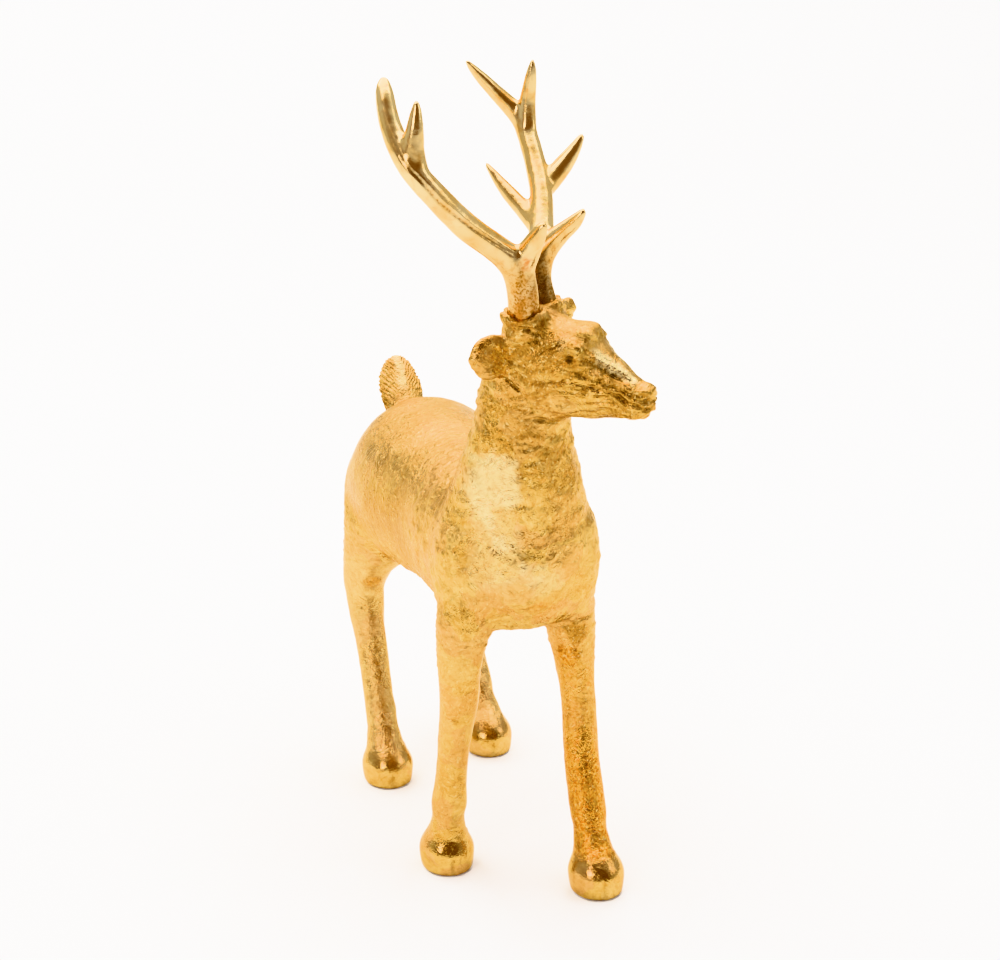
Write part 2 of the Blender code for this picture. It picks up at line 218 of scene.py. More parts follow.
class Skin:
    """A fine net, with what is pressed into it and painted on it before it settles."""

    def __init__(self, bm, layers):
        self.bm = bm
        bm.verts.ensure_lookup_table()
        bm.normal_update()
        self.verts = bm.verts
        self.tree = kdtree.KDTree(len(bm.verts))
        for i, vert in enumerate(bm.verts):
            self.tree.insert(vert.co, i)
        self.tree.balance()
        self.lift = [0.0] * len(bm.verts)
        self.paint = {name: [0.0] * len(bm.verts) for name in layers}

    def smooth_line(self, points, step=0.5 * MM):
        """Places about a step apart on a smooth curve through the points."""
        places = []
        last = len(points) - 1
        for i in range(last):
            before, here = points[max(i - 1, 0)], points[i]
            there, after = points[i + 1], points[min(i + 2, last)]
            count = max(2, int((there - here).length / step))
            for k in range(count):
                t = k / count
                places.append(
                    before * ((-t ** 3 + 2 * t ** 2 - t) / 2) + here * ((3 * t ** 3 - 5 * t ** 2 + 2) / 2)
                    + there * ((-3 * t ** 3 + 4 * t ** 2 + t) / 2) + after * ((t ** 3 - t ** 2) / 2)
                )
        places.append(points[last])
        return places

    def press(self, points, width, depth, lip=0.3, shade=0.7, wander=0.6):
        """Press a crease into the leaf along the points and darken it with painted shade; width and depth are
        in millimetres.
        """
        near = {}
        places = self.smooth_line(points)
        for k, place in enumerate(places):
            ends = min(1.0, 0.3 + 4.0 * min(k, len(places) - 1 - k) / len(places))
            place = place + HEAD_UP * wander * MM * noise.noise(place * 300)
            for _, i, far in self.tree.find_range(place, 3.5 * width * MM):
                if far < near.get(i, (1.0, 0.0))[0]:
                    near[i] = (far, ends)
        for i, (far, ends) in near.items():
            far = far / (width * MM)
            strength = ends * (0.75 + 0.9 * wander * noise.noise(self.verts[i].co * 420))
            groove = exp(-far * far)
            self.lift[i] += (-groove + lip * exp(-(far - 2.0) ** 2 * 1.5)) * depth * MM * strength
            self.paint["shade"][i] += shade * exp(-far * far * 0.8) * strength

    def swell(self, place, reach, height, shade=0.0):
        """Raise, or with a negative height sink, a round spot, darkened by shade as painted shade; reach and
        height in millimetres.
        """
        for _, i, far in self.tree.find_range(place, reach * MM):
            t = far / (reach * MM)
            self.lift[i] += height * MM * (1 - t * t) ** 2
            self.paint["shade"][i] += shade * (1 - t * t)

    def tint(self, place, reach, layer, amount, ragged=0.35):
        """Colour a round area of the leaf, with a ragged edge."""
        for co, i, far in self.tree.find_range(place, reach * MM * (1 + ragged)):
            t = far / (reach * MM) + ragged * noise.noise(co * 160) + 0.15 * noise.noise(co * 500)
            self.paint[layer][i] += amount * max(0.0, min(1.0, (1.0 - t) * 3.0))

    def sheet(self, place, facing, tilt, size, layer, amount, fade=0.0):
        """Colour a four-sided sheet of leaf, seen from the way it faces; size in millimetres."""
        across = Vector((0, 0, 1)).cross(facing).normalized()
        up = facing.cross(across).normalized()
        across, up = across * cos(tilt) + up * sin(tilt), up * cos(tilt) - across * sin(tilt)
        for co, i, _ in self.tree.find_range(place, (size[0] + size[1]) * MM):
            if self.verts[i].normal.dot(facing) < 0.2:
                continue
            at = (co - place) / MM
            ripple = 4.0 * noise.noise(co * 90) + 2.0 * noise.noise(co * 300) + noise.noise(co * 800)
            inside = min(size[0] - abs(at.dot(across)), size[1] - abs(at.dot(up))) + ripple
            level = max(0.0, min(1.0, inside / 3.5))
            self.paint[layer][i] += amount * level * (1.0 - fade * (0.5 - 0.5 * at.dot(up) / size[1]))

    def settle(self, low, high):
        """Move every vertex by its lift, but not past the box, and write the colour layers."""
        for i, vert in enumerate(self.verts):
            vert.co = vert.co + vert.normal * self.lift[i]
            for axis in range(3):
                vert.co[axis] = max(low[axis] + WITHIN, min(high[axis] - WITHIN, vert.co[axis]))
        for name, values in self.paint.items():
            layer = self.bm.verts.layers.float.new(name)
            for i, vert in enumerate(self.verts):
                vert[layer] = max(0.0, min(1.0, values[i]))
        self.bm.normal_update()


skin = Skin(body, ("shade", "orange", "polish", "pale", "deep"))

# The folds of the face, near side first; the far side has the main ones in mirror image. Each is pressed in
# and darkened with painted shade.
NOSE_FOLD = [(31, -11.5, 7), (32.2, -11.1, 6.2), (34.1, -10.3, 4.6), (37.3, -8.3, 3.1), (40.2, -6.9, 1.4),
             (43.1, -6.3, -0.4), (46.3, -5.3, -2.1), (49.1, -4.5, -3.7)]
LID = [(12.6, -16.1, 8.2), (16.9, -14.4, 10.4), (21.5, -13.2, 12.1), (26.4, -13.0, 12.0), (29.5, -12, 10)]
CHEEK = [(8, -18.6, -4.6), (10.9, -18.2, -4.9), (17.7, -17.7, -3.6), (22.7, -16.7, -3.1), (27.5, -15.1, -2.1)]
MUZZLE = [(30, -14, 0.5), (32.1, -13.0, -0.9), (35.0, -11.6, -1.9), (38.1, -10.3, -3.2), (41.3, -9.4, -5.3),
          (45.2, -8.2, -6.1)]
MOUTH = [(34, -12, -5), (36.2, -11.3, -5.8), (41.0, -9.9, -7.4), (44.2, -9.0, -8.6), (47.2, -8.5, -10.2),
         (50.6, -8.1, -12.1), (54.6, -7.0, -13.7), (57.5, -3.1, -15.0), (58.6, 0, -15.3)]
NOSTRIL = [(51, -6.8, -8.6), (53.4, -6.2, -8.8), (55.4, -4.2, -8.6), (56.1, -3.0, -8.5)]
NEAR_ONLY = [
    ([(38.2, -8.5, 1.0), (41.0, -7.6, -0.4), (43.8, -6.7, -1.7), (46.9, -5.5, -3.2)], 0.9, 0.9),
    ([(30.7, -13.4, -8.4), (34.1, -11.9, -8.9), (38.0, -10.5, -9.3), (42.2, -9.6, -9.5)], 0.6, 0.5),
    ([(29.9, -11.9, -13.9), (33.6, -10.9, -13.3), (37.8, -10.1, -12.6), (45.4, -8.7, -12.5)], 0.6, 0.5),
    ([(46.9, -7.8, -6.9), (49.4, -7.4, -8.0), (51.4, -6.9, -8.4)], 0.7, 0.6),
    ([(-9.9, -30.3, 10.2), (-8.5, -28.5, 10.7), (-7.0, -27.0, 10.5)], 0.5, 0.5),
    ([(-1.8, -20.6, -3.5), (0.2, -20.0, -4.1), (2.3, -19.7, -5.5), (4.8, -19.2, -8.0)], 0.6, 0.7),
    ([(-0.4, -16.2, 20.3), (2.9, -17.4, 19.3), (6.4, -16.9, 19.1), (9.6, -15.0, 17.2), (12.2, -12.9, 15.5)],
     0.8, 0.6),
    ([(14, -15.5, 4), (18, -15.6, 5.2), (22, -15.5, 3.8)], 0.6, 0.4),
    ([(28, -14.6, 1.8), (31, -13.6, 2.6), (35, -11.6, 0.6)], 0.6, 0.4),
]
UNDER_NOSE = [(53, -7, -10.6), (56.6, -4, -11.8), (58, 0, -12), (56.6, 4, -11.8), (53, 7, -10.6)]
for side in (-1, 1):
    for fold, width, depth in ((NOSE_FOLD, 1.3, 1.5), (LID, 0.8, 1.1), (CHEEK, 0.8, 1.0), (MUZZLE, 0.8, 1.0),
                               (MOUTH, 0.8, 1.2), (NOSTRIL, 0.8, 1.0)):
        skin.press([on_head(ahead, -side * left, up) for ahead, left, up in fold], width, depth, shade=1.0)
skin.press([on_head(*point) for point in UNDER_NOSE], 0.8, 0.9)
for fold, width, depth in NEAR_ONLY:
    skin.press([on_head(*point) for point in fold], width, 1.5 * depth, shade=0.9)

# Eyes, each a dark slit in a pit under its lid, with painted shade in the pit and a painted shadow round it,
# and the fold of the nose in painted shade, with a painted highlight on the ridge of the nose above it
eye_pits = []
for side in (-1, 1):
    eye = on_head(27.0, side * 14.4, 6.0)
    eye_pits.append(on_head(26.3, side * 14.6, 6.6))
    skin.swell(eye, 4.6, 0.7)
    skin.swell(eye_pits[-1], 2.4, -1.6, 1.0)
    under_eye = ((23.0, 15.6, 5.2), (26.5, 14.9, 3.9), (30.5, 13.0, 4.6))
    skin.press([on_head(ahead, side * left, up) for ahead, left, up in under_eye], 0.6, 0.5)
    skin.swell(on_head(24, side * 11.5, 14), 5.0, 0.5)

    # a painted shadow round the eye, browner near it
    skin.tint(eye, 4.5, "shade", 0.3)
    skin.tint(eye, 3.0, "orange", 0.35)
    for drop in (-0.3, 0.8, 1.9):
        skin.tint(on_head(26.0 + 0.3 * drop, side * 14.7, 7.3 - drop), 1.5, "deep", 0.55, 0.3)
    # painted shade along the fold of the nose, and a painted highlight on the ridge above it
    for ahead, left, up in NOSE_FOLD[2:]:
        skin.tint(on_head(ahead, -side * left, up), 1.6, "deep", 0.5, 0.5)
        skin.tint(on_head(ahead, -side * left * 0.6, up + 2.6), 2.8, "pale", 0.6)

# The dish of the near ear
skin.swell(on_head(-2.4, -24.7, 6.9), 8.5, -1.1)

# The fold where the jaw meets the neck, and two creases at the top of the left foreleg, each darkened with
# painted shade
JAW_FOLD = [(7.1, -97.0, 227.7), (12.2, -97.7, 226.5), (17.3, -96.2, 225.2), (23.3, -93.4, 225.2)]
LEG_FOLDS = [[(29.9, -73.2, 121.0), (32.9, -75.4, 122.4), (37.4, -76.1, 124.9), (42.9, -74.4, 126.5)],
             [(33, -76, 126), (35, -75.6, 122), (35.6, -74.5, 117)]]
skin.press([Vector(point) * MM for point in JAW_FOLD], 0.9, 0.8)
for fold in LEG_FOLDS:
    skin.press([Vector(point) * MM for point in fold], 0.8, 0.5)

# Clefts at the fronts of the hooves, up the wall and over its round edge, darkened with painted shade
HOOVES = [(39.4, -96.4), (-18.3, -52.1), (-19.3, 44.6), (40.2, 63.6)]
CLEFT_ASIDE = 1.0
HOOF_WALL = 12.4
HOOF_EDGE = 10.8
for x, y in HOOVES:
    front = [Vector((x - CLEFT_ASIDE, y - HOOF_WALL, z)) * MM for z in (1, 4, 7, 10)]
    front.append(Vector((x - CLEFT_ASIDE, y - HOOF_EDGE, 14)) * MM)
    skin.press(front, 0.9, 1.0, lip=0.25, shade=0.8, wander=0.3)

# Sheets and areas of paler, darker and redder leaf; the pale sheets on the chest and shoulder are partly
# paler leaf, partly painted highlight
CHEST = Vector((-0.35, -0.93, 0.1)).normalized()    # the way it faces
CHEST_SHEETS = [    # middle, tilt in radians, half width and height, layer, amount, fading
    # the shoulder's pale sheet, fading towards its lower edge: paler leaf with a painted highlight on it
    ((-7.5, -90.0, 199.0), 0.04, (13.5, 13.0), "pale", 1.0, 0.4),
    ((-12.0, -84.0, 186.0), 0.3, (6.0, 12.0), "pale", 0.45, 0.6),
    ((-5.0, -93.0, 171.0), 0.5, (5.0, 6.0), "pale", 0.6, 0.5),
    ((6.0, -98.5, 160.0), -0.4, (7.0, 4.5), "pale", 0.8, 0.4),
    ((13.0, -99.5, 152.0), 0.2, (8.0, 6.0), "pale", 0.35, 0.0),
    ((-6.0, -93.0, 154.0), -0.2, (6.0, 8.0), "pale", 0.3, 0.0),
    ((23.0, -99.0, 188.0), 0.1, (13.0, 17.0), "shade", 0.30, 0.0),
    ((14.0, -98.0, 210.0), -0.3, (15.0, 12.0), "shade", 0.26, 0.0),
    ((-1.0, -92.5, 214.0), 0.9, (4.0, 12.0), "shade", 0.35, 0.0),
    ((0.0, -99.0, 140.0), 0.1, (22.0, 5.0), "orange", 0.30, 0.0),
    ((-15.0, -80.0, 160.0), 0.4, (8.0, 8.0), "shade", 0.22, 0.0),
    ((-9.0, -87.7, 178.0), 0.35, (3.5, 11.0), "pale", 0.6, 0.0),
    ((-8.0, -90.0, 172.0), 0.15, (14.0, 22.0), "pale", 0.3, 0.0),
]
for place, tilt, size, layer, amount, fade in CHEST_SHEETS:
    skin.sheet(Vector(place) * MM, CHEST, tilt, size, layer, amount, fade)
TRUNK_TINTS = [    # middle, reach, layer, amount
    ((35.6, -74.9, 118.9), 7, "shade", 0.8), ((33.0, -73.2, 107.4), 7, "shade", 0.35),
    ((33.0, -73.2, 107.4), 6, "orange", 0.5), ((-18.8, 69.0, 98.2), 6, "shade", 0.45),
    ((-18.8, 69.0, 98.2), 5, "orange", 0.6), ((-27.1, 36.9, 138.1), 5, "shade", 0.25),
    # the three shade tints behind the shoulder lie along its crease: painted shade
    ((-16.0, -48.4, 181.1), 5, "shade", 0.2), ((-20.7, -48.4, 173.6), 5, "shade", 0.2),
    ((-25.6, -60.0, 167.5), 5, "shade", 0.25), ((-30.1, 52.4, 153.4), 9, "pale", 0.25),
    ((-25.2, -4.2, 155.9), 26, "shade", 0.16),
    ((13.3, -89.9, 137.9), 6, "orange", 0.35), ((-21.3, -74.9, 83.0), 2, "shade", 0.8),
    # at the fold of the jaw and under it: painted shade
    ((19.5, -96.2, 225.9), 5, "shade", 0.3), ((13.0, -95.7, 217.5), 9, "shade", 0.15),
]
for place, reach, layer, amount in TRUNK_TINTS:
    skin.tint(Vector(place) * MM, reach, layer, amount)
HEAD_TINTS = [    # the same, on the head's own axes
    # painted highlights: one over the eye, the rest along the ridge of the nose
    ((22.0, -12.6, 12.6), 3.5, "pale", 0.35),
    ((43.0, -5.2, 2.4), 4.0, "pale", 0.8),
    ((48.0, -4.2, -0.6), 3.5, "pale", 0.8),
    ((50.5, -3.2, -2.8), 3.0, "pale", 0.8),
    ((38.0, -7.0, 5.0), 3.5, "pale", 0.6),
    ((8, -17, -1), 17, "shade", 0.22),
    ((14, -16, 9), 13, "shade", 0.22),
    # the near ear: painted shade, orange and olive, inside its dish and mostly on its right half, and a
    # painted highlight on its left rim
    ((-0.8, -22, 6.7), 6, "orange", 0.8),
    ((-1.0, -22, 1.0), 5, "orange", 0.7),
    ((-1.0, -21, 4.0), 7, "shade", 0.2),
    ((-3.0, -25, 7.0), 9, "orange", 0.3),
    ((-10.5, -27, 7.5), 4, "pale", 0.6),
    ((3.5, -15.5, 17), 6, "shade", 0.30),
    ((3.5, -13, 21), 5, "orange", 0.8),
]
for place, reach, layer, amount in HEAD_TINTS:
    skin.tint(on_head(*place), reach, layer, amount)

# Where one part of the stag passes into the next, in millimetres of height or from front to back
HOOF_TOP = (15.0, 20.0)
LEG_TOP = (100.0, 130.0)
BELLY = (125.0, 150.0)
NECK_FOOT = (185.0, 210.0)
HEAD_FOOT = (222.0, 232.0)
BACK_START = (-30.0, 0.0)
CHEST_START = (20.0, 50.0)
MUZZLE_START = (12.0, 34.0)
# Smaller forms, in millimetres
TAIL_MIDDLE = 9.0    # place of its ridge, from left to right
TAIL_STRAND = 2.6    # from one strand to the next
KNOB_HEIGHT = 11.0    # of the roundest part of a hoof
FETLOCK_HEIGHT = 27.0    # of the pinch above it
EAR_CALM = 9    # reach of the smooth leaf round the near ear's dish
EYE_CALM = 4.5    # and round an eye
# How closely the leaf's three sizes of crumple lie, to the metre
WIDE_CRUMPLES, MIDDLE_CRUMPLES, SMALL_CRUMPLES = 115, 250, 520

near_ear = on_head(-6, -23, 6)
shade, orange, polish, pale = (skin.paint[name] for name in ("shade", "orange", "polish", "pale"))
for i, vert in enumerate(body.verts):
    place = vert.co
    x, y, z = place / MM
    hoof = 1.0 - share(z, *HOOF_TOP)
    leg = (1.0 - share(z, *LEG_TOP)) * (1.0 - hoof)
    back = share(y, *BACK_START) * share(z, *BELLY)
    head = share(z, *HEAD_FOOT)
    front = 1.0 - max(back, hoof, leg * 0.8)
    # The leaf lies in crumples of three sizes, sharp where it was pinched together. On the head
    # they run along the muzzle, and on the legs along the leg.
    ahead = HEAD_AHEAD.dot(place) - HEAD_AHEAD.dot(HEAD_PLACE) * MM
    muzzle = head * share(ahead / MM, *MUZZLE_START)
    drawn = HEAD_AHEAD * (-0.7 * head * ahead) + Vector((0, 0, -0.6 * leg * z * MM))
    warp = place + drawn + noise.noise_vector(place * 70) * 4 * MM
    wide = abs(noise.noise(warp * WIDE_CRUMPLES))
    middle = abs(noise.noise(warp * MIDDLE_CRUMPLES + Vector((3, 5, 7))))
    small = abs(noise.noise(warp * SMALL_CRUMPLES + Vector((1, 9, 4))))
    crumple = 1.3 * wide + 0.9 * middle + 0.25 * small - 0.45
    calm = max(0.8 * exp(-((place - near_ear).length / (EAR_CALM * MM)) ** 4),
               0.8 * exp(-(min((place - pit).length for pit in eye_pits) / (EYE_CALM * MM)) ** 4),
               0.8 * head * share(vert.normal.z, 0.3, 0.6))
    rough = (0.85 * front + 0.5 * head + 0.1 * muzzle + 0.14 * back + 0.15 * leg) * (1 - calm)
    skin.lift[i] += MM * crumple * rough
    skin.lift[i] += MM * 0.35 * noise.noise(place * 45) * (1 - hoof) * (1 - head * 0.5)

    # Darker leaf in blotches on the neck and over the back half; painted shade, broad on the flanks where
    # they face sideways and down, and in the pinches of the crumples
    neck = share(z, *NECK_FOOT) * share(-y, *CHEST_START)
    flank = back * share(-vert.normal.z, -0.5, 0.1)
    blotch = max(0.0, 1.0 + 1.6 * noise.noise(warp * 150) + 0.8 * noise.noise(warp * 420))
    shade[i] += (0.24 * neck + 0.03 * head * (1 - calm) + 0.07 * front + 0.05 * leg) * blotch
    # the flanks' painted shade, warmed with orange
    shade[i] += 0.54 * flank * (1.0 + 0.7 * noise.noise(place * 38) + 0.3 * noise.noise(place * 110))
    orange[i] += 0.16 * flank
    shade[i] += (front + head + muzzle) * 0.16 * (1.0 - share(middle, 0.0, 0.14)) * (1 - calm)
    shade[i] += 0.26 * back * (1.0 + 1.2 * noise.noise(place * 60))
    if y > TAIL_BEHIND and z > TAIL_ABOVE:
        # The tail: short strands down both sides of a smooth middle ridge, with painted shade between the
        # strands and a painted highlight along the ridge
        tuft = share(y, TAIL_BEHIND + 2, TAIL_BEHIND + 10) * share(z, TAIL_ABOVE + 4, TAIL_ABOVE + 14)
        across = abs(x - TAIL_MIDDLE) + 0.6 * noise.noise(place * 400)
        strand = sin((z - across * 1.3 + 3.0 * noise.noise(place * 160)) * 2 * pi / TAIL_STRAND)
        strand += 1.6 * noise.noise(place * 420)
        skin.lift[i] += MM * tuft * 0.35 * strand * share(across, 1.0, 3.5)
        shade[i] += 0.35 * tuft * max(0.0, -strand) * share(across, 1.0, 3.5)
        pale[i] += 0.6 * tuft * (1.0 - share(across, 1.0, 3.5))
    # Round knobs of hooves under a pinched fetlock
    knob = 0.9 * exp(-((z - KNOB_HEIGHT) / 6.0) ** 2) - 0.8 * exp(-((z - FETLOCK_HEIGHT) / 4.5) ** 2)
    skin.lift[i] += MM * knob
    polish[i] = hoof
    on_left_foreleg = x > 25 and y < -60
    if on_left_foreleg:
        orange[i] += leg * (0.55 + 0.45 * (1 - share(z, 50, 90)))    # redder towards the hoof
    else:
        orange[i] += 0.12 * leg
        # the hind legs made paler, as painted light
        pale[i] += 0.22 * leg * share(y, 0.0, 10.0)

skin.settle(cad_low, cad_high)


def piece_from(name, bm, kept):
    """The finished piece, its net thinned to the kept share of its facets."""
    mesh = shown(bm, name + "_net", "DECIMATE", {"ratio": kept})
    mesh.name = name
    piece = bpy.data.objects.new(name, mesh)
    bpy.context.scene.collection.objects.link(piece)
    return piece


stag_body = piece_from("stag_body", body, BODY_SHARE)


class Wire:
    """The output of a shader node. Sums, differences, products and absolute values of wires add their Math
    nodes.
    """

    def __init__(self, nodes, socket):
        self.nodes = nodes
        self.socket = socket

    def math(self, operation, first, second):
        return self.nodes.add("ShaderNodeMath", {"operation": operation}, {0: first, 1: second})

    def __add__(self, other):
        return self.math("ADD", self, other)

    def __radd__(self, other):
        return self.math("ADD", other, self)

    def __sub__(self, other):
        return self.math("SUBTRACT", self, other)

    def __rsub__(self, other):
        return self.math("SUBTRACT", other, self)

    def __mul__(self, other):
        return self.math("MULTIPLY", self, other)

    def __rmul__(self, other):
        return self.math("MULTIPLY", other, self)

    def __abs__(self):
        return self.math("ABSOLUTE", self, 0.0)


class Finish:
    """The nodes of a material, or of the world round it, added one by one."""

    def __init__(self, owner, shader="Principled BSDF"):
        owner.use_nodes = True
        self.owner = owner
        self.tree = owner.node_tree
        self.shader = self.tree.nodes[shader]

    def set(self, node, inputs):
        for key, value in inputs.items():
            if isinstance(value, Wire):
                self.tree.links.new(value.socket, node.inputs[key])
            else:
                node.inputs[key].default_value = value

    def add(self, kind, settings, inputs, output=0):
        node = self.tree.nodes.new(kind)
        for key, value in settings.items():
            setattr(node, key, value)
        self.set(node, inputs)
        return Wire(self, node.outputs[output])

    def painted(self, name):
        """A colour layer of the mesh."""
        return self.add("ShaderNodeAttribute", {"attribute_name": name}, {}, "Fac")

    def cloud(self, place, scale, detail=2.0, rough=0.5):
        sockets = {"Vector": place, "Scale": scale, "Detail": detail, "Roughness": rough}
        return self.add("ShaderNodeTexNoise", {}, sockets, "Fac")

    def shifted(self, place, scale, distance):
        """The place, moved about by a cloud, so that what is drawn there has ragged edges."""
        cloud = self.add("ShaderNodeTexNoise", {}, {"Vector": place, "Scale": scale, "Detail": 2.0}, "Color")
        return self.add("ShaderNodeVectorMath", {"operation": "MULTIPLY_ADD"},
                        {0: cloud, 1: (distance,) * 3, 2: place})

    def band(self, wire, low, high):
        """0 below low, 1 above high, eased between."""
        return self.add("ShaderNodeMapRange", {"interpolation_type": "SMOOTHSTEP"},
                        {"Value": wire, "From Min": low, "From Max": high})

    def blend(self, amount, first, second):
        return self.add("ShaderNodeMix", {"data_type": "RGBA"}, {0: amount, 6: first, 7: second}, 2)


GIVEN_BACK = 0.62    # of the bright studio's light, by leaf that looks as named
GOLD_EDGE = (1.0, 0.86, 0.62, 1.0)    # what gold gives back at a glancing angle


def leaf_colour(red, green, blue):
    """The shader's colour for gold that looks red, green, blue (0 to 255) in this studio."""
    return tuple(GIVEN_BACK * ((v / 255 + 0.055) / 1.055) ** 2.4 for v in (red, green, blue)) + (1.0,)


gilt = Finish(bpy.data.materials.new("gold_leaf_body"))
place = gilt.add("ShaderNodeTexCoord", {}, {}, "Object")
shade, orange, polish, pale, deep = (gilt.painted(n) for n in ("shade", "orange", "polish", "pale", "deep"))
upward = gilt.add("ShaderNodeSeparateXYZ", {}, {0: gilt.add("ShaderNodeNewGeometry", {}, {}, "Normal")}, "Z")

bent = gilt.shifted(place, 60.0, 0.012)
ragged = gilt.shifted(bent, 320.0, 0.004)
mottle = gilt.cloud(ragged, 170.0, 4.0, 0.65)
grain = gilt.cloud(place, 520.0, 3.0, 0.65)
speck = gilt.cloud(place, 950.0, 2.0, 0.6)
wrinkle = abs(gilt.cloud(ragged, 210.0, 4.0, 0.6) - 0.5) * 5.0
fine_wrinkle = abs(gilt.cloud(ragged, 480.0, 3.0, 0.6) - 0.5) * 5.0
leaf_tone = gilt.add("ShaderNodeTexVoronoi", {"feature": "F1"}, {"Vector": ragged, "Scale": 75.0}, "Color")
leaf_red = gilt.add("ShaderNodeSeparateColor", {}, {0: leaf_tone}, 0)
leaf_green = gilt.add("ShaderNodeSeparateColor", {}, {0: leaf_tone}, 1)

# Sheets of leaf in slightly different golds, and painted light: duller and pinker where they face up,
# standing in for the overhead light on them
gold = gilt.blend(gilt.band(mottle, 0.34, 0.66), leaf_colour(246, 203, 112), leaf_colour(214, 165, 80))
gold = gilt.blend(leaf_red * 0.45, gold, leaf_colour(252, 219, 138))
gold = gilt.blend(gilt.band(leaf_green, 0.5, 0.9) * 0.45, gold, leaf_colour(234, 172, 106))
gold = gilt.blend(gilt.band(upward, 0.1, 0.8) * 0.75, gold, leaf_colour(212, 162, 102))

# The painted layers: olive shade (darker leaf, and painted shade in creases, pits and on the flanks), pale
# sheets (some of them painted highlights), and orange leaf speckled with reddish brown (in the near ear and
# on the flanks, painted shade)
gold = gilt.blend(shade * (0.7 + grain * 0.8), gold, leaf_colour(192, 146, 70))
gold = gilt.blend(pale * gilt.band(mottle, 0.25, 0.45), gold, leaf_colour(255, 230, 166))
speckled = gilt.band(speck * 0.5 + grain * 0.5, 0.42, 0.60)
orange_leaf = gilt.blend(speckled, leaf_colour(252, 190, 84), leaf_colour(206, 116, 22))
gold = gilt.blend(orange * 0.85, gold, orange_leaf)

# Dark grains, most of them in the shade; painted shade in the creases of the wrinkles; and the dark slits of
# the eyes, and the fold of the nose in painted shade
dark = gilt.band(grain * 0.6 + speck * 0.4, 0.52, 0.68) * (0.18 + shade * 1.2)
dark = dark + (1.0 - gilt.band(fine_wrinkle, 0.0, 0.5)) * (0.08 + shade * 0.25) + shade * 0.30
gold = gilt.blend(gilt.band(dark * (1.0 - pale * 0.8), 0.0, 1.1), gold, leaf_colour(150, 100, 42))
gold = gilt.blend(deep, gold, leaf_colour(84, 54, 24))

# Fine brown rubbing, and painted glints all over: bright specks of colour standing in for highlights
rubbed = gilt.band(gilt.cloud(bent, 430.0, 4.0, 0.7), 0.40, 0.70) * 0.5
gold = gilt.blend(rubbed, gold, leaf_colour(180, 122, 52))
painted_glint = gilt.band(gilt.cloud(bent, 640.0, 3.0, 0.7), 0.54, 0.70) * (1.0 - polish) * 0.6
gold = gilt.blend(painted_glint, gold, leaf_colour(255, 226, 150))

height = wrinkle * 0.35 + fine_wrinkle * 0.16 + grain * 0.22 + speck * 0.06
relief = {"Height": height * (1.0 - polish * 0.72), "Distance": 0.0009, "Strength": 0.75}
gilt.set(gilt.shader, {
    "Base Color": gold,
    "Metallic": 1.0,
    "Specular Tint": GOLD_EDGE,
    "Roughness": 0.30 + (mottle - 0.5) * 0.3 + (leaf_red - 0.5) * 0.12 - polish * 0.12 - pale * 0.06,
    "Normal": gilt.add("ShaderNodeBump", {}, relief, "Normal"),
})
stag_body.data.materials.append(gilt.owner)
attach(stag_body, "root")
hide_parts("deer_body")


# The antlers: each one is moulded on its own, gilded smooth and burnished, and its foot stands
# in a seat in the crown of the head, where the leaf is crumpled up round it. A parting line of
# the mould runs along the right one.

ANTLER_GRAIN = 0.6 * MM    # side of a facet
ANTLER_EASING = 3    # rounds of smoothing
FOOT_RADIUS = 6.6 * MM
FOOT_LENGTH = 6.0 * MM
FOOT_SHADE = (12.0, 36.0)    # how far up an antler its foot stays dark, in millimetres
SEAT_SHADE = (2.0, 7.0)    # and darkest of all
FOOT_REDNESS = (6.0, 22.0)
TINE_CROTCH = (2.9, -99.2, 295.1)    # where redder leaf gathers at the right antler's first tine
PARTING = [(-53.5, -94.0, 352.2), (-49.5, -101.5, 341.0), (-43.7, -105.9, 333.3), (-35.8, -105.5, 323.9),
           (-26.7, -103.3, 316.4), (-17.6, -101.1, 309.7), (-8.4, -99.5, 303.4), (-2.1, -98.7, 299.5)]
STEM_LINE = [(-0.1, -99.0, 296.1), (1.5, -98.4, 288.3), (2.5, -97.0, 279.4), (3.3, -96.0, 271.5)]

antler_finish = Finish(bpy.data.materials.new("burnished_leaf_antlers"))
place = antler_finish.add("ShaderNodeTexCoord", {}, {}, "Object")
shade, orange = (antler_finish.painted(n) for n in ("shade", "orange"))
bent = antler_finish.shifted(place, 90.0, 0.008)
broad = antler_finish.cloud(bent, 60.0, 3.0, 0.6)
mottle = antler_finish.cloud(bent, 240.0, 4.0, 0.6)
speck = antler_finish.cloud(place, 1000.0, 2.0, 0.5)
creamy = antler_finish.band(broad, 0.35, 0.65)
gold = antler_finish.blend(creamy, leaf_colour(252, 222, 160), leaf_colour(246, 202, 124))
gold = antler_finish.blend(antler_finish.band(mottle, 0.52, 0.75) * 0.6, gold, leaf_colour(222, 162, 86))
gold = antler_finish.blend(orange * antler_finish.band(mottle, 0.35, 0.6), gold, leaf_colour(200, 112, 30))
# darker where the shade layer is: streaks on the foot, and painted shade in the grooves
dark = shade * (0.6 + antler_finish.band(speck, 0.45, 0.65) * 0.5)
gold = antler_finish.blend(dark, gold, leaf_colour(152, 100, 36))
relief = {"Height": mottle * 0.6 + speck * 0.15, "Distance": 0.0003, "Strength": 0.5}
antler_finish.set(antler_finish.shader, {
    "Base Color": gold,
    "Metallic": 1.0,
    "Specular Tint": GOLD_EDGE,
    "Roughness": 0.2 + (mottle - 0.5) * 0.2,
    "Normal": antler_finish.add("ShaderNodeBump", {}, relief, "Normal"),
})
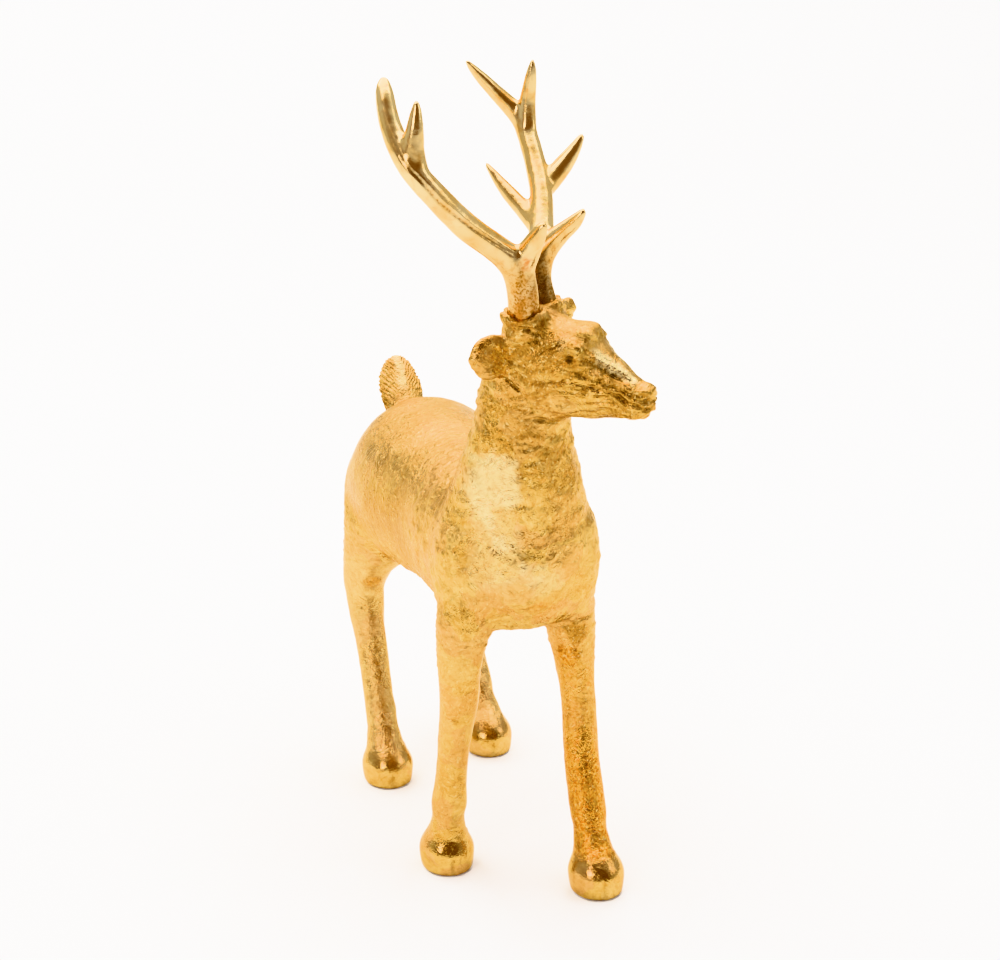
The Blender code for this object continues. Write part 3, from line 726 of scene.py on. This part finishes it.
for word, side in (("right", -1), ("left", 1)):
    bm = rounded_copy("antler_" + word, 2)
    seat, rise = antler_seat(side)
    turn = rise.to_track_quat("Z", "Y").to_matrix().to_4x4()
    peg = bmesh.new()
    bmesh.ops.create_cone(peg, cap_ends=True, segments=32, radius1=FOOT_RADIUS, radius2=FOOT_RADIUS,
                          depth=FOOT_LENGTH, matrix=Matrix.Translation(seat) @ turn)
    join(bm, peg)
    skin = Skin(even_skin(bm, ANTLER_GRAIN, ANTLER_EASING), ("shade", "orange"))
    if word == "right":
        # the parting line and a line down the stem, pressed in as grooves and darkened with painted shade
        skin.press([Vector(point) * MM for point in PARTING], 0.7, 0.5, shade=1.2, wander=0.2)
        skin.press([Vector(point) * MM for point in STEM_LINE], 0.8, 0.45, shade=0.9, wander=0.4)
        skin.tint(Vector(TINE_CROTCH) * MM, 4.0, "orange", 0.8)
    for i, vert in enumerate(skin.verts):
        place = vert.co
        skin.lift[i] += MM * (0.12 * noise.noise(place * 120) + 0.05 * noise.noise(place * 420))
        # The foot is darker, in streaks along the antler, with redder leaf lowest down
        up = (place - seat).dot(rise) / MM
        streak = noise.noise((place - rise * (up * 0.85 * MM)) * 350)
        foot = 1.0 - share(up, *FOOT_SHADE)
        skin.paint["shade"][i] += foot * (0.95 + 0.9 * streak) + 0.3 * (1.0 - share(up, *SEAT_SHADE))
        skin.paint["orange"][i] += (1.0 - share(up, *FOOT_REDNESS)) * (0.45 + 0.8 * streak)
    skin.settle(*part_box("antler_" + word))
    antler = piece_from("stag_antler_" + word, skin.bm, 1.0)
    antler.data.materials.append(antler_finish.owner)
    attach(antler, "root")
    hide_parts("antler_" + word)

# The studio: a pale sweep in a white light tent, which opens towards the camera on a warm, dim
# room that the gold mirrors, with four soft lamps. The camera looks a little down on the stag,
# from ahead of its right shoulder.

FLOOR_REACH = 8.0
floor_net = bmesh.new()
bmesh.ops.create_grid(floor_net, x_segments=1, y_segments=1, size=FLOOR_REACH)
floor = piece_from("floor", floor_net, 1.0)
sweep = Finish(bpy.data.materials.new("pale_floor"))
sweep.set(sweep.shader, {"Base Color": (0.93, 0.93, 0.93, 1.0), "Roughness": 0.9, "Specular IOR Level": 0.0})
floor.data.materials.append(sweep.owner)

CAMERA_PLACE = Vector((-0.29256, -0.93559, 0.48996))
CAMERA_TURN = -0.32757    # radians, about the upright
CAMERA_DROP = radians(18.0)
lens = bpy.data.cameras.new("camera")
lens.sensor_width = 36.0
lens.lens = 79.2
camera = bpy.data.objects.new("camera", lens)
camera.location = CAMERA_PLACE
camera.rotation_euler = (pi / 2 - CAMERA_DROP, 0.0, CAMERA_TURN)
bpy.context.scene.collection.objects.link(camera)
bpy.context.scene.camera = camera

TENT_OPENING = Vector((-0.31, -0.93, 0.10)).normalized()
world = bpy.data.worlds.new("tent")
bpy.context.scene.world = world
tent = Finish(world, "Background")
way = tent.add("ShaderNodeTexCoord", {}, {}, "Generated")
towards = tent.add("ShaderNodeVectorMath", {"operation": "DOT_PRODUCT"}, {0: way, 1: TENT_OPENING}, "Value")
cloth_or_room = tent.blend(tent.band(towards, 0.2, 0.75), (0.95, 0.95, 0.95, 1.0), (0.30, 0.15, 0.07, 1.0))
tent.set(tent.shader, {"Color": cloth_or_room, "Strength": 1.0})


def softbox(name, place, aim, size, power):
    """A lamp behind a rectangle of cloth; places and sizes in metres, power in watts."""
    lamp = bpy.data.lights.new(name, "AREA")
    lamp.shape = "RECTANGLE"
    lamp.size, lamp.size_y = size
    lamp.energy = power
    box = bpy.data.objects.new(name, lamp)
    box.location = place
    box.rotation_euler = (Vector(aim) - Vector(place)).to_track_quat("-Z", "Y").to_euler()
    bpy.context.scene.collection.objects.link(box)


softbox("overhead", (0.0, 0.35, 1.3), (0.0, 0.35, 0.0), (1.8, 1.4), 44.0)
softbox("back_lamp", (0.0, 3.4, 2.6), (0.0, 3.4, 0.0), (5.0, 3.6), 330.0)
softbox("left_lamp", (-1.05, -0.95, 0.80), (0.0, 0.0, 0.18), (0.5, 0.8), 11.0)
softbox("right_lamp", (1.3, -0.7, 0.9), (0.0, 0.0, 0.18), (0.5, 0.8), 4.0)

bpy.context.scene.view_settings.view_transform = "Khronos PBR Neutral"
